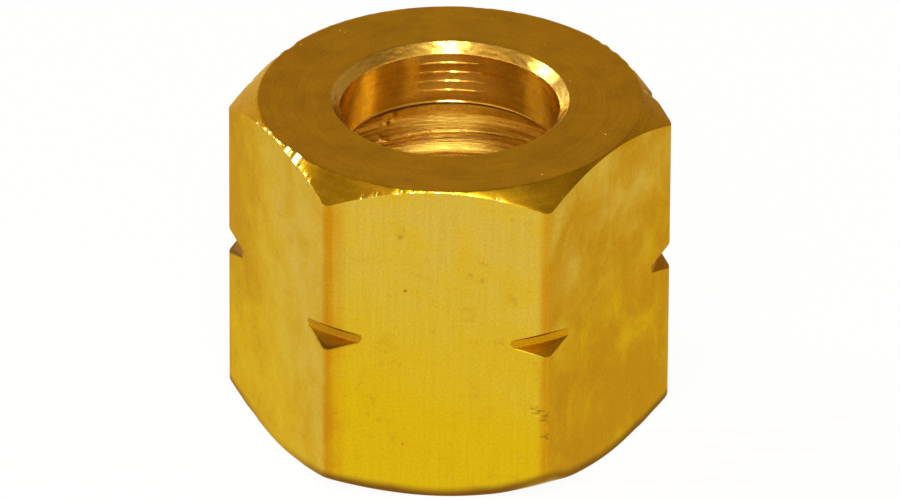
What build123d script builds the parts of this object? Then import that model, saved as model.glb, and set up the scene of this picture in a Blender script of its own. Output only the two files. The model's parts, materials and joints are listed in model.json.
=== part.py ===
from build123d import *
import math
import os

# Brass union nut with a left-hand thread, in millimetres and degrees.
# The nut stands on its open, threaded end. Z is its axis, with Z = 0 at that end
# and the bored end wall on top. Two of the six flats face -Y and +Y.

# Drawn hexagonal bar
ACROSS_FLATS = 30.0
CORNER_RADIUS = 0.9
HEIGHT = 27.0

# Both ends are turned to a round face a little inside the flats, then a cone down the corners
TOP_FACE_INSET = 0.1
TOP_CONE_ANGLE = 35.0
BASE_FACE_INSET = 0.1
BASE_CONE_ANGLE = 28.0

# Flat-bottomed V groove turned across the corners, the mark of a left-hand thread
GROOVE_HEIGHT = 13.8
GROOVE_DEPTH = 1.1
GROOVE_BOTTOM_WIDTH = 0.65
GROOVE_FLANK_ANGLE = 35.0
GROOVE_NOSE_RADIUS = 0.08

# End wall that bears on the tail piece's collar, and its bore for the tail piece's shank
END_WALL = 5.0
BORE_DIAMETER = 17.0
BORE_CHAMFER = 0.75

# Thread, bored plain to its minor diameter, and its countersunk mouth
THREAD_DIAMETER = 21.8
TURNS_PER_INCH = 14
THREAD_DEPTH_PER_PITCH = 0.6403
MOUTH_CLEARANCE = 0.3
MOUTH_ANGLE = 45.0

# Groove behind the end wall that the thread runs out into
RELIEF_CLEARANCE = 0.2
RELIEF_WIDTH = 2.6
RELIEF_RAMP_ANGLE = 30.0
RELIEF_FILLET = 0.3

INCH = 25.4


def rise(run, angle):
    """Height gained over a run at an angle from the horizontal."""
    return run * math.tan(math.radians(angle))


def corner_reach():
    """Distance from the axis to the top of a rounded corner."""
    sharp = ACROSS_FLATS / 2 / math.cos(math.radians(30))
    lost = CORNER_RADIUS * (1 / math.cos(math.radians(30)) - 1)
    return sharp - lost


def thread_minor_radius():
    """Radius of the hole that the thread is cut in."""
    return THREAD_DIAMETER / 2 - THREAD_DEPTH_PER_PITCH * INCH / TURNS_PER_INCH


def turned(outline):
    """Solid turned about Z from a closed outline of (radius, height) points."""
    face = Plane.XZ * make_face(Polyline(*outline, close=True))
    return revolve(face, Axis.Z)


def hexagonal_bar():
    """Length of bar with its six long corners rounded."""
    hexagon = RegularPolygon(ACROSS_FLATS / 2, 6, major_radius=False)
    rounded = fillet(hexagon.vertices(), CORNER_RADIUS)
    return extrude(rounded, HEIGHT)


def end_cones():
    """Envelope inside which the turned ends leave the bar."""
    outside = ACROSS_FLATS
    top = ACROSS_FLATS / 2 - TOP_FACE_INSET
    base = ACROSS_FLATS / 2 - BASE_FACE_INSET
    return turned([
        (0, 0),
        (base, 0),
        (outside, rise(outside - base, BASE_CONE_ANGLE)),
        (outside, HEIGHT - rise(outside - top, TOP_CONE_ANGLE)),
        (top, HEIGHT),
        (0, HEIGHT),
    ])


def corner_groove():
    """Ring that the groove tool takes out of the corners."""
    outside = ACROSS_FLATS
    bottom = corner_reach() - GROOVE_DEPTH
    half_bottom = GROOVE_BOTTOM_WIDTH / 2
    half_opening = half_bottom + rise(outside - bottom, GROOVE_FLANK_ANGLE)
    section = make_face(Polyline(
        (bottom, GROOVE_HEIGHT - half_bottom),
        (outside, GROOVE_HEIGHT - half_opening),
        (outside, GROOVE_HEIGHT + half_opening),
        (bottom, GROOVE_HEIGHT + half_bottom),
        close=True,
    ))
    nose_corners = section.vertices().sort_by(Axis.X)[:2]
    return revolve(Plane.XZ * fillet(nose_corners, GROOVE_NOSE_RADIUS), Axis.Z)


def inside():
    """Waste of the mouth, the thread's bore, the relief groove and the end wall's bore."""
    minor = thread_minor_radius()
    mouth = THREAD_DIAMETER / 2 + MOUTH_CLEARANCE
    relief = THREAD_DIAMETER / 2 + RELIEF_CLEARANCE
    bore = BORE_DIAMETER / 2
    wall = HEIGHT - END_WALL
    ramp = wall - RELIEF_WIDTH
    return turned([
        (0, 0),
        (mouth, 0),
        (minor, rise(mouth - minor, MOUTH_ANGLE)),
        (minor, ramp - rise(relief - minor, RELIEF_RAMP_ANGLE)),
        (relief, ramp),
        (relief, wall),
        (bore, wall),
        (bore, HEIGHT - BORE_CHAMFER),
        (bore + BORE_CHAMFER, HEIGHT),
        (0, HEIGHT),
    ])


def relief_corners(nut):
    """The two inner circles of the relief groove, which the tool's nose leaves round."""
    relief = THREAD_DIAMETER / 2 + RELIEF_CLEARANCE
    circles = nut.edges().filter_by(GeomType.CIRCLE)
    return circles.filter_by(lambda edge: math.isclose(edge.radius, relief))


def union_nut():
    """The whole nut: a bar turned outside, then inside."""
    nut = (hexagonal_bar() & end_cones()) - corner_groove() - inside()
    return fillet(relief_corners(nut), RELIEF_FILLET)


os.makedirs("parts", exist_ok=True)
export_step(union_nut(), "parts/union_nut.step")
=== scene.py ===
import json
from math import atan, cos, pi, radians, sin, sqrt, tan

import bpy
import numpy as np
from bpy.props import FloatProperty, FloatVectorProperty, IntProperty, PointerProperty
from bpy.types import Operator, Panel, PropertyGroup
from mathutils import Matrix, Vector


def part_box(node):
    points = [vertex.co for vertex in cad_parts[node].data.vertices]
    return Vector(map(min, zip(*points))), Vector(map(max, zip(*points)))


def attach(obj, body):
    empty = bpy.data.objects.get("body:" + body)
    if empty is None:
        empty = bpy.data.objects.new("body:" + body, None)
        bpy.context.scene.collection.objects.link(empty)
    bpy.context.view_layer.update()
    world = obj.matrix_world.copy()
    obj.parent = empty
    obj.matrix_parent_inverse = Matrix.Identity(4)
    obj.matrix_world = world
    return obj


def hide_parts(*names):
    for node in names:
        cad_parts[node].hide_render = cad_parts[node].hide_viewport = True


bl_info = {
    "name": "Union Nut",
    "version": (1, 0, 0),
    "blender": (4, 5, 0),
    "location": "View3D > Sidebar > Union Nut",
    "description": "Builds a brass union nut with a left-hand thread, and a plain studio round it",
    "category": "Object",
}

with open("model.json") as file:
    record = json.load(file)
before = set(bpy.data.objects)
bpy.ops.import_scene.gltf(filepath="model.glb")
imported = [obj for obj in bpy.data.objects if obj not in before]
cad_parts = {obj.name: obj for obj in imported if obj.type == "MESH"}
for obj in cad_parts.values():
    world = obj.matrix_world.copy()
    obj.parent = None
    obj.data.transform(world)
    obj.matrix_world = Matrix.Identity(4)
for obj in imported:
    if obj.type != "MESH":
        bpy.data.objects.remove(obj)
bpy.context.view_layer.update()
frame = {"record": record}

NODE = "union_nut"

MILLIMETRE = 0.001
FULL_TURN = 2 * pi
SECTOR = radians(60)

low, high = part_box(NODE)
mounts = {mount["name"]: mount for mount in frame["record"]["mounts"]}
ACROSS_FLATS = high.y - low.y
HEIGHT = high.z - low.z
BORE_RADIUS = mounts["tail_bore"]["dims"]["r_mm"] * MILLIMETRE
MINOR_RADIUS = mounts["thread"]["dims"]["r_mm"] * MILLIMETRE

# The photograph's frame, and where the middle of the nut's axis stands in it
FRAME_WIDTH = 900
FRAME_HEIGHT = 500
MIDDLE_PIXEL = (449.11, 255.28)


def maker(kind, **fixed):
    """A short way to make properties of one kind."""
    def make(name, description, default, **more):
        return kind(name=name, description=description, default=default, **fixed, **more)

    return make


# Lengths are in metres and angles in radians, and a colour is what white light shows
length = maker(FloatProperty, unit="LENGTH", precision=5)
angle = maker(FloatProperty, subtype="ANGLE")
colour = maker(FloatVectorProperty, subtype="COLOR", min=0, max=1, size=3)
share = maker(FloatProperty, min=0)
number = maker(IntProperty, min=4)
focal_length = maker(FloatProperty, unit="CAMERA")


class BarSizes(PropertyGroup):
    across_flats: length("Across flats", "Width of the hexagonal bar", ACROSS_FLATS)
    height: length("Height", "Length of the nut along its axis", HEIGHT)
    corner_radius: length("Corner radius", "Radius of the bar's long corners", 0.0009)
    face_inset: length("Face inset", "How far the round end faces stop inside the flats", 0.0001)
    top_cone: angle("Top cone", "Slope of the cone turned on the top corners", radians(35))
    base_cone: angle("Base cone", "Slope of the cone turned on the bottom corners", radians(28))
    groove_height: length("Groove height", "Height of the V groove's middle", 0.0138)
    groove_depth: length("Groove depth", "Depth of the V groove at the corners", 0.0011)
    groove_bottom: length("Groove bottom", "Width of the V groove's flat bottom", 0.00065)
    groove_flank: angle("Groove flank", "Slope of the V groove's two sides", radians(35))
    groove_nose: length("Groove nose", "Rounding at the foot of the groove's sides", 0.00008)
    edge_wear: length("Edge wear", "How far the worn edges are rounded", 0.00009)


class HoleSizes(PropertyGroup):
    bore_radius: length("Bore radius", "Radius of the hole in the end wall", BORE_RADIUS)
    bore_chamfer: length("Bore chamfer", "Width of the chamfer at the top of the bore", 0.00075)
    end_wall: length("End wall", "Thickness of the wall that the bore goes through", 0.005)
    minor_radius: length("Minor radius", "Radius to the crests of the thread", MINOR_RADIUS)
    major_radius: length("Major radius", "Radius to the bottom of the thread", 0.0109)
    turns_per_inch: number("Turns per inch", "Turns of the thread in one inch", 14)
    crest_height: length("Crest height", "Height of a thread crest at the front", 0.0196613)
    mouth_clearance: length("Mouth clearance", "How far the mouth is wider than the thread", 0.0003)
    relief_clearance: length("Relief clearance", "How far the relief is wider than the thread", 0.0002)
    relief_width: length("Relief width", "Length of the relief groove behind the wall", 0.0026)
    relief_ramp: angle("Relief ramp", "Slope of the side that the thread runs out on", radians(30))
    relief_fillet: length("Relief fillet", "Radius in the corners of the relief groove", 0.0003)
    worn_ramp: angle("Worn ramp", "Slope of the ramp's top, where the tool dug in", radians(52))
    worn_ramp_height: length("Worn ramp height", "Height of that steeper top", 0.00045)


class Finishes(PropertyGroup):
    flats: colour("Flats", "Drawn flats of the bar", (0.69, 0.445, 0.006))
    # A paler, less yellow tone of the flats, mostly towards their tops
    flats_pale: colour("Haze", "Paler haze on the flats", (0.65, 0.44, 0.06))
    # Browner film on some flats, and painted shade on the right flat
    flats_film_and_shade: colour("Film", "Browner film on some flats", (0.52, 0.25, 0.006))
    flats_strip: colour("Corner strips", "Orange film along the corners", (0.57, 0.25, 0.005))
    stain: colour("Stain", "Small brown stains", (0.4, 0.18, 0.01))
    # Painted shade: dark colour laid along the foot, in the grooves, under the bore's lip and inside
    # the nicks
    dirt: colour("Dirt", "Dirt along the foot and in the nicks", (0.2, 0.08, 0.008))
    worn: colour("Worn edges", "Bare metal along the worn edges", (0.85, 0.6, 0.12))
    turned: colour("Turned faces", "Faces and cones turned on the lathe", (0.72, 0.4, 0.011))
    # The groove's colour is darker and more orange than the flats, partly as painted shade in the
    # groove
    groove: colour("Groove", "The V groove across the corners", (0.57, 0.27, 0.004))
    chamfer: colour("Chamfer", "Chamfer at the top of the bore", (0.9, 0.58, 0.07))
    bored: colour("Bored faces", "Walls of the bore and the thread", (0.94, 0.62, 0.1))


class StudioSettings(PropertyGroup):
    floor: colour("Floor", "Pale floor", (0.92, 0.92, 0.92))
    floor_glow: share("Floor glow", "Share of plain white in the floor that is seen", 0.94, max=1)
    ceiling: colour("Ceiling", "Dim room above the backdrop", (0.48, 0.35, 0.22))
    strip_power: share("Overhead strip", "Radiance of the long lamp overhead", 16, max=50)
    strip_width: length("Strip width", "Width of the overhead lamp", 0.2)
    strip_front: length("Strip front", "How far the overhead lamp reaches towards the camera", 1.4)
    strip_back: length("Strip back", "Where the overhead lamp begins in front of the nut", 0.2)
    strip_height: length("Strip height", "Height of the overhead lamp", 0.9)
    window_power: share("Window", "Strength of the light from the left and behind", 1, max=20)
    camera_distance: length("Camera distance", "From the middle of the nut", 1.1246)
    camera_azimuth: angle("Camera azimuth", "Turn to the right from the front flat", radians(3.61))
    camera_elevation: angle("Camera elevation", "Height above the horizon", radians(29.478))
    camera_roll: angle("Camera roll", "Tilt of the camera about its line of sight", radians(0.332))
    lens: focal_length("Lens", "Focal length on a 36 mm sensor", 577.27)


def harmonics(azimuth, seed, first, last):
    """Smooth noise that repeats once round the nut, mostly between -1 and 1."""
    draw = np.random.default_rng(seed)
    phases = draw.uniform(0, FULL_TURN, last - first)
    total = sum(np.sin(n * azimuth + phase) for n, phase in zip(range(first, last), phases))
    return total / sqrt(last - first)


def hump(distance, width):
    """A smooth bump, 1 where the distance is nought."""
    return np.exp(-((distance / width) ** 2))


def turn_from(azimuth, other):
    """Signed angle from another azimuth, at most half a turn."""
    return (azimuth - other + pi) % FULL_TURN - pi


def swell(azimuth, turn, reach):
    """A smooth bump at a turn from the front flat's middle, both it and its reach in degrees."""
    return hump(turn_from(azimuth, radians(turn)), radians(reach))


# The mesh's columns over half a flat: first and last degree from its middle, and their number
COLUMNS = ((0, 19.5, 20), (19.5, 22.5, 8), (22.5, 28, 9), (28, 30, 7))


def column_azimuths():
    """Azimuths of the mesh's columns, closer together at the corners and the groove's ends.

    Azimuth 0 is the front flat's middle, and it grows anticlockwise seen from above.
    """
    half = np.concatenate([
        np.linspace(start, end, count, endpoint=False) for start, end, count in COLUMNS
    ])
    sector = np.sort(np.concatenate([half, [30], -half[:0:-1]]) % 60)
    return np.concatenate([np.radians(sector) + k * SECTOR for k in range(6)])


def bar_radius(azimuth, bar):
    """Distance from the axis to the outside of the rounded hexagonal bar."""
    apothem = bar.across_flats / 2
    across = (azimuth + SECTOR / 2) % SECTOR - SECTOR / 2
    centre = (apothem - bar.corner_radius) / cos(SECTOR / 2)
    tangent = atan((apothem - bar.corner_radius) * tan(SECTOR / 2) / apothem)
    off_corner = SECTOR / 2 - np.abs(across)
    chord = np.maximum(bar.corner_radius**2 - (centre * np.sin(off_corner)) ** 2, 0)
    rounded = centre * np.cos(off_corner) + np.sqrt(chord)
    return np.where(np.abs(across) < tangent, apothem / np.cos(across), rounded)


def points(radius, height):
    """One point for each column, as (radius, height) pairs."""
    return np.stack(np.broadcast_arrays(radius, height), axis=-1).astype(float)


def circle(azimuth, radius, height):
    """A row at one radius and height."""
    return points(radius + 0 * azimuth, height)


def straight(start, end, count):
    """Rows evenly spaced between two rows, without those two."""
    steps = np.linspace(0, 1, count + 2)[1:-1]
    return [start + (end - start) * step for step in steps]


def rounded_corner(before, corner, after, reach, count):
    """Rows round a corner, which begins and ends at a reach from its point."""
    inward = before - corner
    outward = after - corner
    inward_length = np.linalg.norm(inward, axis=-1)
    outward_length = np.linalg.norm(outward, axis=-1)
    reach = np.minimum(reach, 0.45 * np.minimum(inward_length, outward_length))
    start = corner + inward * (reach / inward_length)[:, None]
    end = corner + outward * (reach / outward_length)[:, None]
    rows = []
    for step in np.linspace(0, 1, count):
        rows.append((1 - step) ** 2 * start + 2 * step * (1 - step) * corner + step**2 * end)
    return rows


def groove_radius(height, root, bar):
    """Radius of the V groove's surface at a height above its middle."""
    nose = bar.groove_nose
    past_bottom = np.abs(height) - bar.groove_bottom / 2
    rounded = (np.clip(past_bottom, -nose, nose) + nose) ** 2 / (4 * nose)
    run = rounded + np.maximum(past_bottom - nose, 0)
    return root + run / tan(bar.groove_flank)


def smooth_least(first, second, blend):
    """The lesser of two radii, with the edge between them rounded off."""
    share_of_first = np.clip(0.5 + (second - first) / (2 * blend), 0, 1)
    mixed = second * (1 - share_of_first) + first * share_of_first
    return mixed - blend * share_of_first * (1 - share_of_first)


class Skin:
    """Rows of vertices and the faces between them, each with a finish."""

    def __init__(self):
        self.vertices = []
        self.wear = []
        self.count = 0
        self.faces = []
        self.finishes = []

    def add_row(self, azimuth, row, wear=0.0):
        """Puts a row of (radius, height) points into the mesh and gives back its numbers."""
        x = row[:, 0] * np.sin(azimuth)
        y = -row[:, 0] * np.cos(azimuth)
        self.vertices.append(np.stack([x, y, row[:, 1]], axis=-1))
        self.wear.append(np.broadcast_to(wear, len(row)))
        numbers = np.arange(self.count, self.count + len(row))
        self.count += len(row)
        return numbers

    def add_face(self, corners, finish):
        """Adds a face, unless fewer than three of its corners differ."""
        kept = [c for i, c in enumerate(corners) if c != corners[i - 1]]
        if len(kept) > 2:
            self.faces.append(kept)
            self.finishes.append(finish)

    def join(self, upper, lower, finishes):
        """Faces between two rows with the same number of points."""
        for i, finish in enumerate(np.broadcast_to(finishes, len(upper))):
            j = (i + 1) % len(upper)
            self.add_face((upper[i], lower[i], lower[j], upper[j]), finish)

    def join_to_half(self, fine, coarse, finish, coarse_after):
        """Faces from a row to one that has half as many points."""
        for i in range(len(coarse)):
            j = (i + 1) % len(coarse)
            a, b, c = fine[2 * i], fine[2 * i + 1], fine[2 * j]
            fan = ((a, coarse[i], b), (b, coarse[i], coarse[j]), (b, coarse[j], c))
            for corners in fan:
                self.add_face(corners if coarse_after else corners[::-1], finish)


class Band:
    """Rows that follow each other over the nut, each with the finish before it and its wear, which
    below nought is painted shade.
    """

    def __init__(self, azimuth):
        self.azimuth = azimuth
        self.rows = []

    def add(self, rows, finish, wear=0.0):
        """Adds rows with the finish of the faces that lead to them."""
        self.rows += [(row, finish, wear) for row in rows]

    def last(self):
        return self.rows[-1][0]

    def change(self, changed):
        """Passes every row and its wear and painted shade through a function."""
        for i, (row, finish, wear) in enumerate(self.rows):
            row, wear = changed(row, wear)
            self.rows[i] = (row, finish, wear)

    def put_into(self, skin):
        """Puts the rows into the skin with the faces between them; gives back the end rows."""
        numbers = [skin.add_row(self.azimuth, row, wear) for row, _, wear in self.rows]
        for upper, lower, (_, finish, _) in zip(numbers, numbers[1:], self.rows[1:]):
            skin.join(upper, lower, finish)
        return numbers[0], numbers[-1]


# Facets battered into the top edge: turn from the front flat's middle, half length, and depth.
# Those left of the front flat all face the window, and the others the lamp overhead.
LEFT_FACETS = (
    (-73.0, 1.2, 0.00003), (-67.2, 1.1, 0.00007), (-64.6, 1.0, 0.00008), (-62.2, 0.8, 0.00006),
    (-60.0, 0.8, 0.00006), (-57.4, 1.0, 0.00010), (-53.6, 1.9, 0.00023), (-48.5, 2.3, 0.00028),
    (-44.4, 0.7, 0.00008), (-41.6, 0.6, 0.00006), (-39.0, 0.4, 0.00004),
)
LEFT_FACING = -52.3
FRONT_FACETS = (
    (-21.5, 0.7, 0.00003), (-18.4, 0.8, 0.00004), (-15.9, 0.6, 0.00003), (-11.8, 1.6, 0.00004),
    (-8.0, 1.2, 0.00003), (-5.0, 1.3, 0.00004), (-0.6, 1.6, 0.00004), (5.0, 2.4, 0.00003),
    (11.0, 2.0, 0.00002), (18.3, 1.2, 0.00004),
)
FRONT_FACING = 3.6

# Facets at the back, drawn by lot: number, and range of turn, half length and depth
BACK_FACETS = 32
BACK_TURNS = (96, 262)
BACK_HALVES = (0.6, 2.4)
BACK_DEPTHS = (0.00003, 0.00012)

# A facet's reach in degrees, loss a degree past its ends, soft border, and depth where it is bare
FACET_REACH = 20
FACET_LOSS = 0.0005
FACET_SOFTNESS = 0.000008
FACET_BARE = 0.00003

# Even wear of the edge's front: turn, reach, depth, and how bare it is
FRONT_WEAR_TURN = 8
FRONT_WEAR_REACH = 21
FRONT_WEAR_DEPTH = 0.000035
FRONT_BARENESS = 0.6


def all_facets():
    """Every facet with the way it faces."""
    draw = np.random.default_rng(8)
    turns = draw.uniform(*BACK_TURNS, BACK_FACETS)
    return [
        *((*facet, LEFT_FACING) for facet in LEFT_FACETS),
        *((*facet, FRONT_FACING) for facet in FRONT_FACETS),
        *((turn, draw.uniform(*BACK_HALVES), draw.uniform(*BACK_DEPTHS), 60 * round(turn / 60))
          for turn in turns),
    ]


def top_edge_height(radius, bar):
    """Height at which the top cone meets the bar's outside."""
    return bar.height - (radius - bar.across_flats / 2 + bar.face_inset) * tan(bar.top_cone)


def battered(row, wear, azimuth, bar):
    """A row cut back to the facets of the top edge, and how worn it is then.

    Every facet is part of a plane that slopes at 45 degrees. Radius and height added up grow
    1.41 times as fast as the depth square to it.
    """
    front = turn_from(azimuth, radians(FRONT_WEAR_TURN)) / radians(FRONT_WEAR_REACH)
    at_front = np.exp(-(front**4))
    radius = bar_radius(azimuth, bar)
    over = row.sum(axis=-1) - radius - top_edge_height(radius, bar) + FRONT_WEAR_DEPTH * at_front
    for turn, half, depth, facing in all_facets():
        centre = radians(turn)
        edge = bar_radius(np.array([centre]), bar)[0]
        limit = edge * cos(centre - radians(facing)) + top_edge_height(edge, bar)
        outside = np.maximum(np.abs(np.degrees(turn_from(azimuth, centre))) - half, 0)
        reach = row[:, 0] * np.cos(azimuth - radians(facing)) + row[:, 1] - limit
        deeper = np.maximum(over, reach + 1.41 * depth - FACET_LOSS * outside)
        over = np.where(swell(azimuth, turn, FACET_REACH) > 0.1, deeper, over)
    over = over * sqrt(0.5)
    soft = FACET_SOFTNESS
    taken = np.where(over > soft, over, np.maximum(over + soft, 0) ** 2 / (4 * soft))
    barest = np.where(np.abs(turn_from(azimuth, 0)) < SECTOR / 2, FRONT_BARENESS, 1)
    bare = barest * np.clip(taken / FACET_BARE, 0, 1)
    return row - sqrt(0.5) * taken[:, None], np.where(taken > 0, np.maximum(wear, bare), wear)


# The most battered corner, right of the front flat, and how its foot is crushed
BATTERED_CORNER = 30
CRUSHED_DEPTH = 0.0004
CRUSHED_REACH = 7

# Rows close to the top edge: width of the face's rim, shares of the cone, and depths down the flats
RIM_WIDTH = 0.0007
CONE_ROWS = (0.4, 0.65, 0.82, 0.93)
FLAT_ROWS = (0.00008, 0.0002, 0.00036)

# The edge's own rows: the finish that leads to each, and how bare it is
EDGE_LOOKS = (("turned", 0.12), ("turned", 0.3), ("flats", 0.12))


def outside_band(azimuth, bar, hole):
    """Rows from the bore's chamfer over the top face, down the outside and in to the mouth."""
    radius = bar_radius(azimuth, bar)
    face = bar.across_flats / 2 - bar.face_inset
    mouth = hole.major_radius + hole.mouth_clearance
    crushed = CRUSHED_DEPTH * swell(azimuth, BATTERED_CORNER, CRUSHED_REACH)

    chamfer_foot = circle(azimuth, hole.bore_radius, bar.height - hole.bore_chamfer)
    top_inner = circle(azimuth, hole.bore_radius + hole.bore_chamfer, bar.height)
    top_outer = circle(azimuth, face, bar.height)
    top_edge = points(radius, top_edge_height(radius, bar))
    groove_rows = groove_band_rows(radius, azimuth, bar)
    groove_top = groove_rows[0][0]
    base_edge = points(radius, (radius - face) * tan(bar.base_cone) + crushed)
    base_outer = circle(azimuth, face, 0)
    base_inner = circle(azimuth, mouth, 0)
    mouth_top = circle(azimuth, hole.minor_radius, mouth - hole.minor_radius)

    ragged = np.clip(1 + 0.5 * harmonics(azimuth, 3, 20, 110), 0.2, 2.4)
    worn = bar.edge_wear * ragged
    top_wear = 0.2 * bar.edge_wear * ragged
    base_wear = bar.edge_wear * (2.6 + 0.5 * harmonics(azimuth, 4, 5, 50)) + 0.8 * crushed

    band = Band(azimuth)
    round_inner = rounded_corner(chamfer_foot, top_inner, top_outer, bar.edge_wear / 2, 3)
    band.add(round_inner[:2], "chamfer")
    band.add(round_inner[2:], "turned")
    round_top = rounded_corner(top_inner, top_outer, top_edge, worn, 3)
    rim = top_outer - [RIM_WIDTH, 0]
    band.add(straight(band.last(), rim, 4), "turned")
    band.add(straight(rim, round_top[0], 3), "turned")
    band.add(round_top, "turned")
    round_edge = rounded_corner(top_outer, top_edge, groove_top, top_wear, 3)
    across_cone = round_edge[0] - band.last()
    band.add([band.last() + across_cone * step for step in CONE_ROWS], "turned")
    for row, (finish, bare) in zip(round_edge, EDGE_LOOKS):
        band.add([row], finish, bare)
    band.add([band.last() - [0, below] for below in FLAT_ROWS], "flats")
    band.add(straight(band.last(), groove_top, 8), "flats")
    band.rows += groove_rows
    round_base = rounded_corner(band.last(), base_edge, base_outer, base_wear, 5)
    band.rows += nicked(lower_flat_rows(band.last(), round_base[0]), azimuth)
    # Painted shade along the foot, standing in for the floor's shadow under the nut; weaker at the
    # battered corner and on the left flat
    foot_shade = -0.8 + 0.25 * swell(azimuth, BATTERED_CORNER, 9) + 0.5 * swell(azimuth, -60, 26)
    band.add(round_base[:3], "flats", foot_shade)
    band.add(round_base[3:], "turned", foot_shade)
    round_foot = rounded_corner(base_edge, base_outer, base_inner, worn, 3)
    band.add(straight(band.last(), round_foot[0], 3), "turned")
    band.add(round_foot, "turned")
    round_mouth = rounded_corner(base_outer, base_inner, mouth_top, bar.edge_wear / 2, 3)
    band.add(straight(band.last(), round_mouth[0], 5), "turned")
    band.add(round_mouth, "turned")
    band.change(lambda row, wear: battered(row, wear, azimuth, bar))
    return band


# Reach of a corner's wear and painted shade, half width and rounding of the worn edge, and least cut
GROOVE_REACH = 14
GROOVE_EDGE = 0.00005
GROOVE_BLEND = 0.00003
GROOVE_CUT = 0.00002


def groove_band_rows(radius, azimuth, bar):
    """Rows across the V groove from its top down, each with its finishes, wear and painted shade."""
    bare = 0.35 * swell(azimuth, BATTERED_CORNER, GROOVE_REACH)
    # Painted shade in the groove, strongest at the two left corners
    groove_shade = 0.3 * swell(azimuth, -30, GROOVE_REACH) + 0.5 * swell(azimuth, -90, GROOVE_REACH)
    root = radius.max() - bar.groove_depth
    half_bottom = bar.groove_bottom / 2
    flank = np.maximum(radius - root, 0.00008) * tan(bar.groove_flank)
    edge = np.minimum(GROOVE_EDGE, 0.3 * flank)
    foot = np.minimum(bar.groove_nose, 0.2 * flank)
    opening = half_bottom + flank
    upper = [
        opening + 4 * edge, opening + edge, opening, opening - edge,
        half_bottom + 0.55 * flank, half_bottom + foot, half_bottom + 0 * flank,
        half_bottom - foot, 0.35 * half_bottom + 0 * flank,
    ]
    rows = []
    for height in upper + [-height for height in reversed(upper)]:
        worn = smooth_least(radius, groove_radius(height, root, bar), GROOVE_BLEND)
        cut = radius - worn > GROOVE_CUT
        finishes = np.where(cut | np.roll(cut, -1), "groove", "flats")
        on_edge = hump(np.abs(height) - opening, 1.2 * edge) * (radius > root)
        # Bare metal on the lower edge at the battered corner; painted shade in the cut and, doubled,
        # along the lower edge
        wear = bare * on_edge * (height < 0) - groove_shade * (cut + 2 * on_edge * (height < 0))
        rows.append((points(worn, bar.groove_height + height), finishes, wear))
    return rows


# Stretch of the battered corner that is nicked, and its nicks:
# height, turn from the corner, half length in degrees, and depth
NICKED_BASE = 0.0050
NICKED_TOP = 0.0094
CORNER_NICKS = (
    (0.0082, -3.2, 1.2, 0.00012), (0.00785, -2, 2, 0.00018), (0.00755, -0.3, 1.4, 0.00015),
    (0.00712, -0.8, 1.3, 0.00016), (0.0068, 0.2, 0.8, 0.0001), (0.0057, -0.5, 1.2, 0.00015),
    (0.0054, 0.2, 0.8, 0.0001),
)

# A nick's rise for each degree along it, its half height, and its bare rim's drop and half height
NICK_SLANT = 0.0001
NICK_HEIGHT = 0.00013
NICK_RIM = 0.00028
NICK_RIM_HEIGHT = 0.00012


def lower_flat_rows(start, end):
    """Rows down the flats below the groove, closest together where the corner is nicked."""
    nicked_top = points(start[:, 0], np.minimum(NICKED_TOP, start[:, 1]))
    nicked_base = points(start[:, 0], NICKED_BASE)
    return [
        *straight(start, nicked_top, 3),
        nicked_top,
        *straight(nicked_top, nicked_base, 20),
        nicked_base,
        *straight(nicked_base, end, 4),
    ]


def nicked(rows, azimuth):
    """Rows of the flats with the slanting nicks pressed in, with painted shade inside and bare below.
    """
    from_corner = np.degrees(turn_from(azimuth, radians(BATTERED_CORNER)))
    pressed = []
    for row in rows:
        depth = 0 * azimuth
        rim = 0 * azimuth
        for height, turn, half, deepest in CORNER_NICKS:
            along = hump(from_corner - turn, half)
            above = row[:, 1] - height - NICK_SLANT * (from_corner - turn)
            depth = depth + deepest * along * hump(above, NICK_HEIGHT)
            rim = np.maximum(rim, along * hump(above + NICK_RIM, NICK_RIM_HEIGHT))
        # Painted shade inside the deeper nicks, bare metal on the rim below them
        wear = np.where(depth > 0.00003, -np.clip(depth / 0.0002, 0, 0.5), 0.45 * rim)
        pressed.append((row - points(depth, 0), "flats", wear))
    return pressed


# The thread's form in pitches: its depth, the radius of its crests and roots, and its flanks' angle
THREAD_DEPTH = 0.6403
THREAD_NOSE = 0.1373
THREAD_FLANK = radians(27.5)


def thread_depth(turns):
    """Depth of the thread's form below its crest, from 0 to 1, with rounded crests and roots.

    Turns is the distance along the axis from a crest, in pitches.
    """
    along = np.abs((turns + 0.5) % 1 - 0.5)
    nose = THREAD_NOSE
    tangent = nose * cos(THREAD_FLANK)
    crest = nose - np.sqrt(nose**2 - np.minimum(along, tangent) ** 2)
    slope = (np.clip(along, tangent, 0.5 - tangent) - tangent) / tan(THREAD_FLANK)
    past = np.maximum(along - (0.5 - tangent), 0)
    root = np.sqrt(nose**2 - (tangent - past) ** 2) - nose * sin(THREAD_FLANK)
    return (crest + slope + np.where(past > 0, root, 0)) / THREAD_DEPTH


# Torn lumps where the thread starts: turn from the front, height, reach and how far they stand in
THREAD_START = (
    (207.6, 0.0199, 1.3, 0.00016), (209.6, 0.01962, 0.8, 0.00012), (208.4, 0.01935, 0.7, -0.00018),
    (210.9, 0.0193, 1.1, 0.00024), (210.4, 0.019, 0.7, -0.00014), (212.6, 0.01893, 0.9, 0.0002),
    (214, 0.01925, 1.8, 0.00018), (214.6, 0.01855, 1, 0.00022), (216.6, 0.0188, 1.6, 0.0002),
    (219.5, 0.01905, 2.2, 0.00014),
)

# Half height of a lump, and how far one stands in where it is all bare
LUMP_HEIGHT = 0.00015
LUMP_BARE = 0.00025


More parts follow.
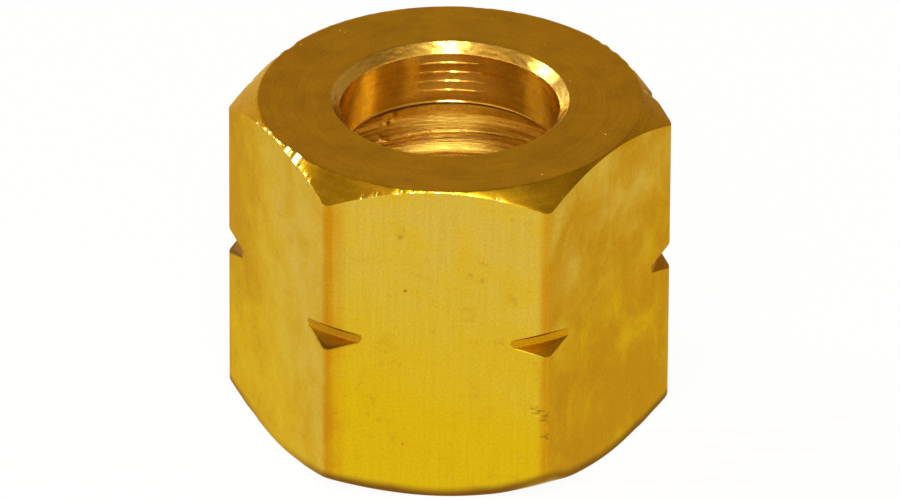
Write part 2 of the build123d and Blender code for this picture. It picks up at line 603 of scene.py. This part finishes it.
def torn(row, wear, azimuth):
    """A row of the inside with the torn lumps at the thread's start, and how worn it is then."""
    lumps = 0 * azimuth
    for turn, height, reach, depth in THREAD_START:
        lumps = lumps + depth * swell(azimuth, turn, reach) * hump(row[:, 1] - height, LUMP_HEIGHT)
    return row - points(lumps, 0), wear + np.clip(lumps / LUMP_BARE, 0, 0.9)


# The tool's feed marks in the bore: heights, greatest depth, and section (height, share of depth)
FEED_MARKS = (0.02307, 0.02388, 0.02468, 0.02549)
FEED_MARK_DEPTH = 0.00009
FEED_MARK_SECTION = (
    (-0.00007, 0), (-0.000055, 0.05), (0.000035, 0.95), (0.00005, 1), (0.00008, 0)
)


def feed_mark(radius, height, azimuth, seed):
    """Rows up over one shallow mark, which is deepest at the back and broken elsewhere."""
    at_back = swell(azimuth, 183, 12)
    uneven = 0.3 * harmonics(azimuth, seed, 6, 60) * (0.2 + at_back)
    depth = FEED_MARK_DEPTH * np.clip(0.8 * at_back + uneven, 0, 1.1)
    return [points(radius + depth * part, height + rise) for rise, part in FEED_MARK_SECTION]


# The burr on the bore's lip: how far it stands in and up, its width, and where it is bent back
BURR_IN = 0.0001
BURR_UP = 0.00002
BURR_WIDTH = 0.00009
BENT_TURN = 124
BENT_REACH = 24


def burr_rows(lip, azimuth):
    """Rows up over the burr that the tool left on the bore's lip."""
    standing = 1 - 0.95 * swell(azimuth, BENT_TURN, BENT_REACH)
    root = lip + points(0, 0.00003 + BURR_WIDTH * standing)
    tip = lip + points(-BURR_IN * standing, BURR_UP * standing)
    return [tip + (root - tip) * step for step in (0, 0.12, 0.88, 1)]


# Painted shadow of the bore's lip on the relief's wall: strength, depth below the wall, how much lower
# at the sides, soft border
RELIEF_SHADE = -0.9
SHADE_HEIGHT = 0.00175
SHADE_AT_SIDES = 0.0011
SHADE_BORDER = 0.0002

RAMP_ROUNDING = 0.00017
CHAMFER_STREAK = 0.000011


def inside_band(azimuth, bar, hole):
    """Rows above the thread: its run-out, the relief, the end wall's seat, bore and chamfer."""
    relief = hole.major_radius + hole.relief_clearance
    wall = bar.height - hole.end_wall
    ramp = wall - hole.relief_width
    bend = hole.worn_ramp_height / tan(hole.worn_ramp)
    thread_top = circle(azimuth, hole.major_radius, thread_heights(bar, hole)[1])
    low_ramp = circle(azimuth, relief - bend, ramp - hole.worn_ramp_height)
    ramp_top = circle(azimuth, relief, ramp)
    relief_top = circle(azimuth, relief, wall)
    lip = circle(azimuth, hole.bore_radius, wall)
    bore_top = circle(azimuth, hole.bore_radius, bar.height - hole.bore_chamfer)
    chamfer_top = circle(azimuth, hole.bore_radius + hole.bore_chamfer, bar.height)

    band = Band(azimuth)
    band.add(straight(thread_top, ramp_top, 1), "thread")
    band.add(rounded_corner(low_ramp, ramp_top, relief_top, RAMP_ROUNDING, 4), "thread")
    round_relief = rounded_corner(ramp_top, relief_top, lip, hole.relief_fillet, 5)
    # Painted shadow of the lip: the relief's wall is darkened from here up, lower at the sides
    shade_from = wall - SHADE_HEIGHT - SHADE_AT_SIDES * np.sin(azimuth) ** 2
    for row in [*straight(band.last(), round_relief[0], 12), *round_relief]:
        dirt = np.clip((row[:, 1] - shade_from) / SHADE_BORDER, 0, 1)
        band.add([row], "relief", RELIEF_SHADE * dirt)
    band.add(straight(band.last(), lip, 3), "relief")
    band.add([lip, *burr_rows(lip, azimuth)], "bored", 0.3)
    for seed, height in enumerate(FEED_MARKS):
        band.add(feed_mark(hole.bore_radius, height, azimuth, seed), "bored")
    round_bore = rounded_corner(lip, bore_top, chamfer_top, bar.edge_wear / 2, 3)
    band.add(round_bore, "bored")
    for seed, row in enumerate(straight(round_bore[-1], chamfer_top, 7)):
        streak = CHAMFER_STREAK * harmonics(azimuth, 40 + seed, 3, 50)
        band.add([row + points(streak, -streak)], "chamfer")
    band.change(lambda row, wear: torn(row, wear, azimuth))
    return band


def ramp_inset(below, hole):
    """How far the ramp stands in from the relief's wall, at a height below the ramp's top."""
    whole = hole.major_radius + hole.relief_clearance - hole.minor_radius
    run = whole * tan(hole.relief_ramp)
    bend = hole.worn_ramp_height / tan(hole.worn_ramp)
    flatter = bend + (below - hole.worn_ramp_height) * (whole - bend) / (run - hole.worn_ramp_height)
    return np.where(below < hole.worn_ramp_height, below / tan(hole.worn_ramp), flatter)


def thread_heights(bar, hole):
    """Heights at which the mouth and the relief are as wide as the thread."""
    ramp = bar.height - hole.end_wall - hole.relief_width
    return hole.mouth_clearance, ramp - hole.relief_clearance * tan(hole.worn_ramp)

# The thread's rows in one pitch from a crest, and how near they come to the circles at its ends
THREAD_ROWS = np.array([0, 0.06, 0.1218, 0.3782, 0.44, 0.5, 0.56, 0.6218, 0.8782, 0.94])
NEAREST_ROW = 0.00002


def add_thread(skin, azimuth, bar, hole):
    """Puts in the left-hand thread and gives back its lowest and highest circle.

    Rows that would run past an end lie on its circle, so the thread fades out there.
    """
    pitch = 0.0254 / hole.turns_per_inch
    relief = hole.major_radius + hole.relief_clearance
    ramp = bar.height - hole.end_wall - hole.relief_width
    mouth = hole.major_radius + hole.mouth_clearance
    lowest, highest = thread_heights(bar, hole)

    def radius_at(height, turns):
        threaded = hole.minor_radius + (hole.major_radius - hole.minor_radius) * thread_depth(turns)
        countersunk = mouth - height
        run_out = relief - ramp_inset(ramp - height, hole)
        return np.maximum(threaded, np.maximum(countersunk, run_out))

    per_turn = len(THREAD_ROWS)
    turn_count = int((highest - lowest) / pitch) + 4
    levels = np.concatenate([THREAD_ROWS + turn for turn in range(-2, turn_count)])
    crest = hole.crest_height - pitch * azimuth / FULL_TURN
    crest = crest - pitch * ((hole.crest_height - lowest) // pitch)
    bottom = skin.add_row(azimuth, circle(azimuth, hole.major_radius, lowest))
    top = skin.add_row(azimuth, circle(azimuth, hole.major_radius, highest))
    lines = [bottom] * per_turn
    for level in levels:
        height = crest + level * pitch
        between = (height > lowest + NEAREST_ROW) & (height < highest - NEAREST_ROW)
        line = np.where(height < (lowest + highest) / 2, bottom, top)
        if between.any():
            row = points(radius_at(height, level + 0 * azimuth), height)
            line = np.where(between, skin.add_row(azimuth, *torn(row, 0.0, azimuth)), line)
        lines.append(line)
    for k in range(per_turn, len(lines) - 1):
        line = np.append(lines[k], lines[k - per_turn][0])
        above = np.append(lines[k + 1], lines[k + 1 - per_turn][0])
        for i in range(len(azimuth)):
            skin.add_face((line[i], above[i], above[i + 1], line[i + 1]), "thread")
    return bottom, top


def nut_skin(bar, hole):
    """The nut's whole closed surface."""
    azimuth = column_azimuths()
    inner_azimuth = azimuth[::2]
    skin = Skin()
    chamfer_edge, mouth_edge = outside_band(azimuth, bar, hole).put_into(skin)
    thread_bottom, thread_top = add_thread(skin, inner_azimuth, bar, hole)
    run_out, chamfer = inside_band(inner_azimuth, bar, hole).put_into(skin)
    skin.join_to_half(mouth_edge, thread_bottom, "turned", True)
    skin.join(thread_top, run_out, "thread")
    skin.join_to_half(chamfer_edge, chamfer, "chamfer", False)
    return skin


FINISHES = ("flats", "turned", "chamfer", "groove", "bored", "relief", "thread")

# What lies on each flat, from the front one anticlockwise: how much brown film, with painted shade on
# the right flat, how pale it is at its top and at its foot, and how the pale part's lower edge slants
FLAT_LOOKS = (
    (0.04, 0.8, -0.1, 0.3),
    # The right flat's film is mostly painted shade
    (0.72, 1.0, -0.9, -0.4),
    (0.3, 0.6, 0.3, 0.8),
    (0.55, 0.3, 0.6, -0.6),
    (0.15, 0.8, 0.2, 0.5),
    (0.3, 1.0, 0.15, 1.46),
)
RIGHT_FLAT = 1
LEFT_FLAT = 5

# Orange film along the corners: turn from the front flat's middle, reach and strength
CORNER_FILM = (
    (-29.2, 1.8, 0.95), (-27.0, 1.9, 0.5), (29.4, 1.5, 0.85), (89.4, 1.4, 0.6),
    (151.0, 1.5, 0.8), (209.6, 1.8, 0.7), (270.8, 1.3, 0.8),
)

# Pale streaks down the right flat: distance from its middle, half width and strength
PALE_STREAKS = ((0.0034, 0.0006, 1), (0.0051, 0.0005, 0.6))

# The far strip of the left flat, its half width, and the height from which it has more film
FAR_STRIP = -0.0072
FAR_STRIP_WIDTH = 0.0042
FAR_STRIP_BASE = 0.006


def flat_looks(vertices):
    """How much film with painted shade, orange strip and paleness each vertex has, from the flat that
    it is nearest to.
    """
    x, y, height = vertices.T
    azimuth = np.arctan2(x, -y)
    nearest = np.round(azimuth / SECTOR).astype(int)
    along = np.hypot(x, y) * np.sin(azimuth - nearest * SECTOR)
    film, at_top, at_foot, slant = np.array(FLAT_LOOKS)[nearest % 6].T
    on_right = nearest % 6 == RIGHT_FLAT
    far_left = (nearest % 6 == LEFT_FLAT) * hump(along - FAR_STRIP, FAR_STRIP_WIDTH)

    rise = np.clip(1.6 * ((height - low.z + slant * along) / HEIGHT) - 0.3, 0, 1)
    film = film + 0.45 * far_left * np.clip(height / FAR_STRIP_BASE - 1, 0, 1)
    # Painted shade on the right flat, darker towards its foot
    film = film - 0.2 * on_right * (rise - 0.5)
    strip = 0 * azimuth
    for turn, reach, strength in CORNER_FILM:
        strip = np.maximum(strip, strength * swell(azimuth, turn, reach))
    streaks = sum(strength * hump(along - place, half) for place, half, strength in PALE_STREAKS)
    haze = at_foot + (at_top - at_foot) * rise + 0.5 * on_right * streaks
    return {"film": film, "strip": strip, "haze": haze * (1 - far_left)}


def nut_mesh(skin):
    """Mesh of the skin, smooth, with normals that follow its large faces."""
    vertices = np.concatenate(skin.vertices)
    wear = np.concatenate(skin.wear)
    used = np.unique(np.concatenate(skin.faces))
    renumbered = np.full(len(vertices), -1)
    renumbered[used] = np.arange(len(used))
    faces = [[int(renumbered[corner]) for corner in face] for face in skin.faces]
    vertices = vertices[used]
    mesh = bpy.data.meshes.new("nut")
    mesh.from_pydata(vertices.tolist(), [], faces)
    mesh.polygons.foreach_set("material_index", [FINISHES.index(name) for name in skin.finishes])
    mesh.polygons.foreach_set("use_smooth", [True] * len(faces))
    looks = {"wear": wear[used], **flat_looks(vertices)}
    for name, values in looks.items():
        mesh.attributes.new(name, "FLOAT", "POINT").data.foreach_set("value", values)
    mesh.update()
    if mesh.validate(verbose=False):
        raise RuntimeError("the nut's mesh has faulty faces")
    normals = np.zeros((len(vertices), 3))
    for polygon in mesh.polygons:
        normals[list(polygon.vertices)] += np.array(polygon.normal) * polygon.area
    normals /= np.linalg.norm(normals, axis=1)[:, None]
    mesh.normals_split_custom_set_from_vertices(normals.tolist())
    return mesh


class Nodes:
    """Short ways to make the nodes of a tree."""

    def __init__(self, tree):
        self.nodes = tree.nodes
        self.links = tree.links

    def feed(self, socket, value):
        """Gives a socket a number, a colour or another node's output."""
        if isinstance(value, bpy.types.NodeSocket):
            self.links.new(value, socket)
        else:
            socket.default_value = value

    def fill(self, node, values):
        """Feeds a node's sockets by their names."""
        for name, value in values.items():
            self.feed(node.inputs[name], value)

    def add(self, kind, *values, **settings):
        """A new node with some settings, and with its first sockets fed."""
        node = self.nodes.new("ShaderNode" + kind)
        for name, value in settings.items():
            setattr(node, name, value)
        for socket, value in zip(node.inputs, values):
            self.feed(socket, value)
        return node

    def maths(self, operation, *values):
        return self.add("Math", *values, operation=operation).outputs[0]

    def times(self, first, second):
        return self.maths("MULTIPLY", first, second)

    def plus(self, first, second):
        return self.maths("ADD", first, second)

    def vector(self, operation, *values):
        node = self.add("VectorMath", *values, operation=operation)
        return node.outputs["Value" if operation in ("LENGTH", "DISTANCE") else "Vector"]

    def split(self, vector):
        return tuple(self.add("SeparateXYZ", vector).outputs)

    def combine(self, x, y, z):
        return self.add("CombineXYZ", x, y, z).outputs[0]

    def fade(self, value, start, end, low=0.0, high=1.0):
        """Runs smoothly from low to high as the value goes from start to end."""
        limits = (value, start, end, low, high)
        return self.add("MapRange", *limits, interpolation_type="SMOOTHSTEP").outputs[0]

    def spread(self, noise, low, high):
        """Runs smoothly from low to high over the whole range of a noise."""
        return self.fade(noise, 0.3, 0.7, low, high)

    def blend(self, fac, first, second, mode="MIX"):
        node = self.add("Mix", fac, data_type="RGBA", blend_type=mode)
        for socket, value in ((node.inputs[6], first), (node.inputs[7], second)):
            self.feed(socket, value if isinstance(value, bpy.types.NodeSocket) else (*value, 1))
        return node.outputs[2]


class Metal(Nodes):
    """A metal's material. Positions in it are in millimetres of the nut."""

    def __init__(self, name):
        self.material = bpy.data.materials.new(name)
        self.material.use_nodes = True
        super().__init__(self.material.node_tree)
        self.shader = self.nodes["Principled BSDF"]
        self.shader.inputs["Metallic"].default_value = 1
        metres = self.add("TexCoord").outputs["Object"]
        self.position = self.vector("MULTIPLY", metres, [1 / MILLIMETRE] * 3)
        self.x, self.y, self.z = self.split(self.position)

    def attribute(self, name):
        return self.add("Attribute", attribute_name=name).outputs["Fac"]

    def stretched(self, x, y, z):
        """Position whose axes are multiplied by some factors."""
        return self.vector("MULTIPLY", self.position, (x, y, z))

    def noise(self, vector, scale, detail=2, rough=0.5, warp=0):
        """Noise from about 0.3 to 0.7, with its scale in turns per millimetre."""
        node = self.add("TexNoise", vector)
        self.fill(node, {"Scale": scale, "Detail": detail, "Roughness": rough, "Distortion": warp})
        return node.outputs["Fac"]

    def bump(self, height, depth, under=None):
        """Bump whose full height is a depth in millimetres."""
        node = self.add("Bump")
        self.fill(node, {"Distance": depth * MILLIMETRE, "Height": height})
        if under is not None:
            self.feed(node.inputs["Normal"], under)
        return node.outputs[0]

    def shade(self, base, first, second):
        """A colour made lighter and darker by two factors round 1."""
        total = self.times(first, second)
        return self.blend(1.0, base, self.combine(total, total, total), "MULTIPLY")

    def marks(self, places, size, ragged=0.5):
        """1 inside small uneven blots round some places, and 0 elsewhere."""
        jitter = self.times(self.noise(self.position, 2.5), size * ragged * 4)
        edge = size * (1 + ragged * 2)
        total = 0.0
        for place in places:
            away = self.plus(self.vector("DISTANCE", self.position, place), jitter)
            total = self.maths("MAXIMUM", total, self.fade(away, edge, edge * 0.6))
        return total

    def rings(self, spacing, drift):
        """Position that runs fast across the lathe's tool marks and slowly along them."""
        radius = self.vector("LENGTH", self.combine(self.x, self.y, 0.0))
        across = self.maths("DIVIDE", self.plus(radius, self.z), spacing)
        return self.combine(across, self.times(self.x, drift), self.times(self.y, drift))

    def wear(self, base, normal, colours):
        """Bare, faintly dented metal where the value is above nought, and painted shade where it is
        below.
        """
        amount = self.attribute("wear")
        speckle = self.fade(self.noise(self.position, 1.8), 0.35, 0.65, 0.6, 1.2)
        bare = self.fade(self.times(amount, speckle), 0.2, 0.6)
        base = self.blend(self.fade(amount, -0.05, -0.8), base, colours.dirt)
        dents = self.times(self.noise(self.position, 2, detail=1), bare)
        return self.blend(bare, base, colours.worn), self.bump(dents, 0.02, normal), bare

    def brushed(self, amount):
        """Stretches the highlights across the lathe's tool marks."""
        tangent = self.add("Tangent", direction_type="RADIAL", axis="Z").outputs[0]
        across = {"Tangent": tangent, "Anisotropic": amount, "Anisotropic Rotation": 0.25}
        self.fill(self.shader, across)

    def finish(self, colour, roughness, normal, coat, edge_tint=(0.9, 0.8, 0.6)):
        self.fill(self.shader, {
            "Base Color": colour,
            "Roughness": roughness,
            "Normal": normal,
            "Coat Normal": normal,
            "Coat Weight": coat,
            "Coat Roughness": 0.2,
            "Specular Tint": (*edge_tint, 1),
        })
        return self.material


# Single marks on the flats, in millimetres: brown specks, wide smudges and bright pits
SPECKS = ((-2.4, -15, 18.2), (-2.6, -15, 4.6), (15.9, -2.5, 8.2), (-12.1, -9.1, 15.2),
          (6.1, 15, 9.3), (-13.6, 6.3, 12.8), (12.4, 8.5, 20.1))
SMUDGES = ((-2.9, -15, 23.0), (-0.2, -15, 14.8), (-12.6, -8.2, 20.7), (11.8, -9.6, 15.0),
           (-4.2, 15, 17.4), (13.9, 5.9, 6.4))
PITS = ((3.2, -15, 9.1), (6.6, -15, 3.8), (1.3, -15, 1.6), (0.5, -15, 23.6), (-8.0, -14.9, 20.3),
        (-7.9, -14.9, 15.9), (-13.3, -6.9, 10.2), (2.5, 15, 5.2), (-5.4, 15, 21.3))

# Small bright nicks on the top face: x and y in millimetres
FACE_NICKS = (
    (12.3, -4.9), (12.7, -4.8), (7.8, -11.6), (11.0, -8.9), (-9.3, 10.3),
    (-9.6, 10.8), (-8.9, 10.0), (9.1, 3.4), (-12.2, 7.7), (-4.6, 12.6),
)
TOP_FACE = 27


def flats_finish(colours):
    """Drawn brass: faint lines along the bar, cloudy film with painted shade on the right flat, a
    paler tone, small stains and pits.
    """
    metal = Metal("brass_drawn_flats")
    place, noise, fade, blend = metal.position, metal.noise, metal.fade, metal.blend
    times, plus, bump, spread = metal.times, metal.plus, metal.bump, metal.spread

    lines = noise(metal.stretched(1, 1, 0.03), 5, detail=3, rough=0.6)
    clouds = noise(place, 0.3, detail=5, rough=0.55, warp=0.4)
    wisps = noise(metal.stretched(0.4, 0.4, 1), 0.9, detail=4, rough=0.6, warp=0.8)
    patches = noise(metal.stretched(1, 1, 0.6), 0.22, detail=3, rough=0.6, warp=0.5)
    grain = noise(place, 5, detail=3, rough=0.6)
    dust = times(noise(place, 1.5, detail=3), fade(noise(place, 0.3, detail=1), 0.5, 0.65, 0.85, 1.1))
    speck = metal.marks(SPECKS, 0.14)
    pit = metal.marks(PITS, 0.09, ragged=0.2)
    smudge = times(metal.marks(SMUDGES, 0.45, ragged=0.7), 0.3)
    stain = plus(fade(dust, 0.58, 0.85, 0, 0.35), smudge)

    # The film attribute carries painted shade on the right flat
    film = times(metal.attribute("film"), fade(patches, 0.35, 0.65, 0.68, 1.25))
    film = plus(film, spread(clouds, -0.11, 0.13))
    film = plus(film, fade(lines, 0.35, 0.65, -0.08, 0.08))
    strip = times(metal.attribute("strip"), fade(patches, 0.35, 0.65, 0.72, 1.1))
    haze = times(metal.attribute("haze"), fade(clouds, 0.65, 0.35, 0.5, 1))
    base = blend(haze, colours.flats, colours.flats_pale)
    base = blend(fade(film, 0, 1), base, colours.flats_film_and_shade)
    base = blend(fade(wisps, 0.56, 0.75, 0, 0.28), base, colours.flats_film_and_shade)
    base = blend(fade(strip, 0, 1), base, colours.flats_strip)
    base = blend(stain, base, colours.stain)
    base = blend(times(speck, 0.8), base, colours.stain)
    base = metal.shade(base, spread(lines, 0.96, 1.04), spread(grain, 0.93, 1.07))
    base = blend(pit, base, colours.worn)

    normal = bump(lines, 0.003)
    normal = bump(noise(place, 1.2, detail=4, rough=0.6), 0.012, normal)
    normal = bump(plus(stain, speck), -0.008, normal)
    normal = bump(pit, -0.08, normal)
    base, normal, bare = metal.wear(base, normal, colours)
    roughness = times(spread(clouds, 0.3, 0.4), fade(bare, 0, 1, 1, 0.6))
    return metal.finish(base, roughness, normal, 0.0, edge_tint=(0.9, 0.8, 0.52))


def turned_finish(name, colour, colours, spacing, depth, roughness, brushed=0, coat=0.0,
                  patches=0.5, contrast=0.08, drift=0.15, nicks=()):
    """Turned brass: fine rings left by the tool, a few coarser, and patches of tarnish.

    Spacing and depth are in millimetres, and drift is how fast the rings change along their way.
    """
    metal = Metal(name)
    noise, fade, blend = metal.noise, metal.fade, metal.blend
    bump, spread = metal.bump, metal.spread

    fine = noise(metal.rings(spacing, drift), 1, detail=4, rough=0.7)
    coarse = noise(metal.rings(spacing * 5, drift), 1)
    clouds = noise(metal.position, 0.4, detail=4, rough=0.6)
    grain = noise(metal.position, 7)
    base = blend(fade(clouds, 0.35, 0.75, 0, patches), colour, colours.stain)
    base = metal.shade(base, spread(fine, 1 - contrast, 1 + contrast), spread(grain, 0.88, 1.12))
    normal = bump(grain, 0.003, bump(coarse, depth, bump(fine, depth)))
    if nicks:
        nick = metal.marks([(x, y, TOP_FACE) for x, y in nicks], 0.08, ragged=0.8)
        base = blend(nick, base, colours.worn)
        normal = bump(nick, -0.05, normal)
    base, normal, bare = metal.wear(base, normal, colours)
    roughness = spread(coarse, roughness - 0.04, roughness + 0.06)
    roughness = metal.times(roughness, fade(bare, 0, 1, 1, 0.7))
    if brushed:
        metal.brushed(brushed)
    return metal.finish(base, roughness, normal, coat)


def nut_materials(colours):
    """The nut's finishes, in the order of FINISHES."""
    def turned(name, colour, **marks):
        return turned_finish("brass_" + name, colour, colours, **marks)

    return (
        flats_finish(colours),
        turned("turned_faces", colours.turned, spacing=0.1, depth=0.003, roughness=0.32,
               brushed=0.3, coat=0.05, patches=0.35, nicks=FACE_NICKS),
        turned("chamfer", colours.chamfer, spacing=0.3, depth=0.012, roughness=0.26,
               brushed=0.6, coat=0.8, patches=0.2, contrast=0.1, drift=0.6),
        # The groove's darker colour is partly painted shade
        turned("corner_grooves", colours.groove, spacing=0.15, depth=0.003, roughness=0.3),
        turned("bored_walls", colours.bored, spacing=0.35, depth=0.012, roughness=0.2,
               brushed=0.85, coat=0.1, patches=0.2, contrast=0.1),
        turned("relief", colours.bored, spacing=0.3, depth=0.07, roughness=0.32,
               brushed=0.8, coat=0.2, contrast=0.15, drift=0.5),
        turned("thread", colours.bored, spacing=0.3, depth=0.12, roughness=0.3,
               brushed=0.88, coat=0.2, patches=0.3, contrast=0.25),
    )


def add_object(name, data):
    """A new object in the scene."""
    thing = bpy.data.objects.new(name, data)
    bpy.context.scene.collection.objects.link(thing)
    return thing


class UNIONNUT_OT_nut(Operator):
    """Builds the union nut as one closed mesh with its brass finishes"""

    bl_idname = "union_nut.add_nut"
    bl_label = "Nut"

    def execute(self, context):
        scene = context.scene
        mesh = nut_mesh(nut_skin(scene.nut_bar, scene.nut_hole))
        for material in nut_materials(scene.nut_finishes):
            mesh.materials.append(material)
        nut = add_object("nut", mesh)
        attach(nut, "root")
        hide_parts(NODE)
        return {"FINISHED"}


def direction(azimuth, elevation):
    """Unit vector towards an azimuth from the front, to the right, and an elevation."""
    across = cos(elevation)
    return Vector((sin(azimuth) * across, -cos(azimuth) * across, sin(elevation)))


# The floor's sizes, the overhead lamp's colour, the window's direction and width, and the height
# that the camera looks at
FLOOR_RADIUS = 1.2
FLOOR_SIDES = 96
FLOOR_DROP = 0.00005
STRIP_COLOUR = (0.97, 1, 1.04)
WINDOW = (-0.83, 0.27, 0.49)
WINDOW_SPREAD = radians(18)
LOOK_AT = 0.013


def add_window(studio):
    """Soft light from a window far off to the left and behind."""
    data = bpy.data.lights.new("window", "SUN")
    data.energy = studio.window_power
    data.angle = WINDOW_SPREAD
    lamp = add_object("window", data)
    lamp.rotation_mode = "QUATERNION"
    lamp.rotation_quaternion = Vector(WINDOW).to_track_quat("Z", "Y")


def add_strip(studio):
    """Long soft lamp overhead, in line with the camera, from near the nut to past the camera."""
    toward = direction(studio.camera_azimuth, 0)
    up = Vector((0, 0, studio.strip_height))
    data = bpy.data.lights.new("overhead_strip", "AREA")
    data.shape = "RECTANGLE"
    data.size = studio.strip_width
    data.size_y = studio.strip_front - studio.strip_back
    data.energy = pi * data.size * data.size_y * studio.strip_power
    data.color = STRIP_COLOUR
    lamp = add_object("overhead_strip", data)
    lamp.location = toward * (studio.strip_front + studio.strip_back) / 2 + up
    lamp.rotation_euler.z = studio.camera_azimuth
    lamp.visible_camera = False


def floor_material(studio):
    """Matt pale floor that keeps the shadow, with a share of plain white where it is seen.

    From below it is clear.
    """
    material = bpy.data.materials.new("pale_floor")
    material.use_nodes = True
    material.node_tree.nodes.clear()
    tree = Nodes(material.node_tree)
    matt = tree.add("BsdfDiffuse", (*studio.floor, 1)).outputs[0]
    white = tree.add("Emission").outputs[0]
    clear = tree.add("BsdfTransparent").outputs[0]
    ray = tree.add("LightPath").outputs
    seen = tree.maths("MAXIMUM", ray["Is Camera Ray"], ray["Is Glossy Ray"])
    seen = tree.maths("MAXIMUM", seen, ray["Is Transmission Ray"])
    lit = tree.add("MixShader", tree.times(seen, studio.floor_glow), matt, white).outputs[0]
    from_below = tree.add("NewGeometry").outputs["Backfacing"]
    one_sided = tree.add("MixShader", from_below, lit, clear).outputs[0]
    tree.add("OutputMaterial", one_sided)
    return material


def add_floor(studio):
    """Round pale floor just under the nut."""
    turns = [FULL_TURN * i / FLOOR_SIDES for i in range(FLOOR_SIDES)]
    ring = [(FLOOR_RADIUS * cos(t), FLOOR_RADIUS * sin(t), -FLOOR_DROP) for t in turns]
    mesh = bpy.data.meshes.new("floor")
    mesh.from_pydata(ring, [], [list(range(FLOOR_SIDES))])
    mesh.materials.append(floor_material(studio))
    floor = add_object("floor", mesh)


def set_world(studio):
    """White backdrop, open to the dim room at the right behind, under a ceiling darker upwards."""
    world = bpy.data.worlds.new("studio")
    bpy.context.scene.world = world
    world.use_nodes = True
    tree = Nodes(world.node_tree)
    x, y, z = tree.split(tree.add("TexCoord").outputs["Generated"])
    upward = tree.fade(z, 0.35, 0.95, 1, 0.42)
    rightward = tree.fade(x, -0.5, 0.6, 1.05, 0.78)
    frontward = tree.fade(y, -0.1, -0.5, 1, 3)
    level = tree.times(tree.times(upward, rightward), frontward)
    ceiling = tree.blend(1.0, studio.ceiling, tree.combine(level, level, level), "MULTIPLY")
    doorway = tree.fade(tree.plus(x, y), 0.7, 1.2)
    above = tree.maths("MAXIMUM", tree.fade(z, 0.1, 0.32), doorway)
    colour = tree.blend(above, (1, 1, 1), ceiling)
    tree.feed(tree.nodes["Background"].inputs["Color"], colour)


def add_camera(studio):
    """Camera at the photograph's distance and angle."""
    data = bpy.data.cameras.new("camera")
    data.sensor_width = 36
    data.lens = studio.lens
    data.shift_x = (FRAME_WIDTH / 2 - MIDDLE_PIXEL[0]) / FRAME_WIDTH
    data.shift_y = (MIDDLE_PIXEL[1] - FRAME_HEIGHT / 2) / FRAME_WIDTH
    data.clip_start = 0.05
    data.clip_end = 20
    camera = add_object("camera", data)
    back = direction(studio.camera_azimuth, studio.camera_elevation)
    middle = Vector((0, 0, LOOK_AT))
    turn = back.to_track_quat("Z", "Y").to_matrix() @ Matrix.Rotation(studio.camera_roll, 3, "Z")
    camera.matrix_world = Matrix.Translation(middle + back * studio.camera_distance) @ turn.to_4x4()
    bpy.context.scene.camera = camera


class UNIONNUT_OT_stage(Operator):
    """Sets up the floor, the backdrop, the lamps and the camera"""

    bl_idname = "union_nut.add_stage"
    bl_label = "Stage"

    def execute(self, context):
        studio = context.scene.nut_studio
        context.scene.view_settings.view_transform = "Standard"
        add_floor(studio)
        set_world(studio)
        add_strip(studio)
        add_window(studio)
        add_camera(studio)
        return {"FINISHED"}


class UNIONNUT_PT_panel(Panel):
    """Lists the union nut's parts and settings"""

    bl_label = "Union Nut"
    bl_idname = "VIEW3D_PT_union_nut"
    bl_space_type = "VIEW_3D"
    bl_region_type = "UI"
    bl_category = "Union Nut"

    def draw(self, context):
        layout = self.layout
        scene = context.scene
        for operator in (UNIONNUT_OT_nut, UNIONNUT_OT_stage):
            layout.operator(operator.bl_idname)
        for group in (scene.nut_bar, scene.nut_hole, scene.nut_finishes, scene.nut_studio):
            box = layout.box()
            for name in group.__annotations__:
                box.prop(group, name)


GROUPS = {
    "nut_bar": BarSizes,
    "nut_hole": HoleSizes,
    "nut_finishes": Finishes,
    "nut_studio": StudioSettings,
}
CLASSES = (*GROUPS.values(), UNIONNUT_OT_nut, UNIONNUT_OT_stage, UNIONNUT_PT_panel)


def register():
    for cls in CLASSES:
        bpy.utils.register_class(cls)
    for name, group in GROUPS.items():
        setattr(bpy.types.Scene, name, PointerProperty(type=group))


def unregister():
    for name in GROUPS:
        delattr(bpy.types.Scene, name)
    for cls in reversed(CLASSES):
        bpy.utils.unregister_class(cls)


def main():
    register()
    bpy.ops.union_nut.add_nut()
    bpy.ops.union_nut.add_stage()


if __name__ == "__main__":
    main()
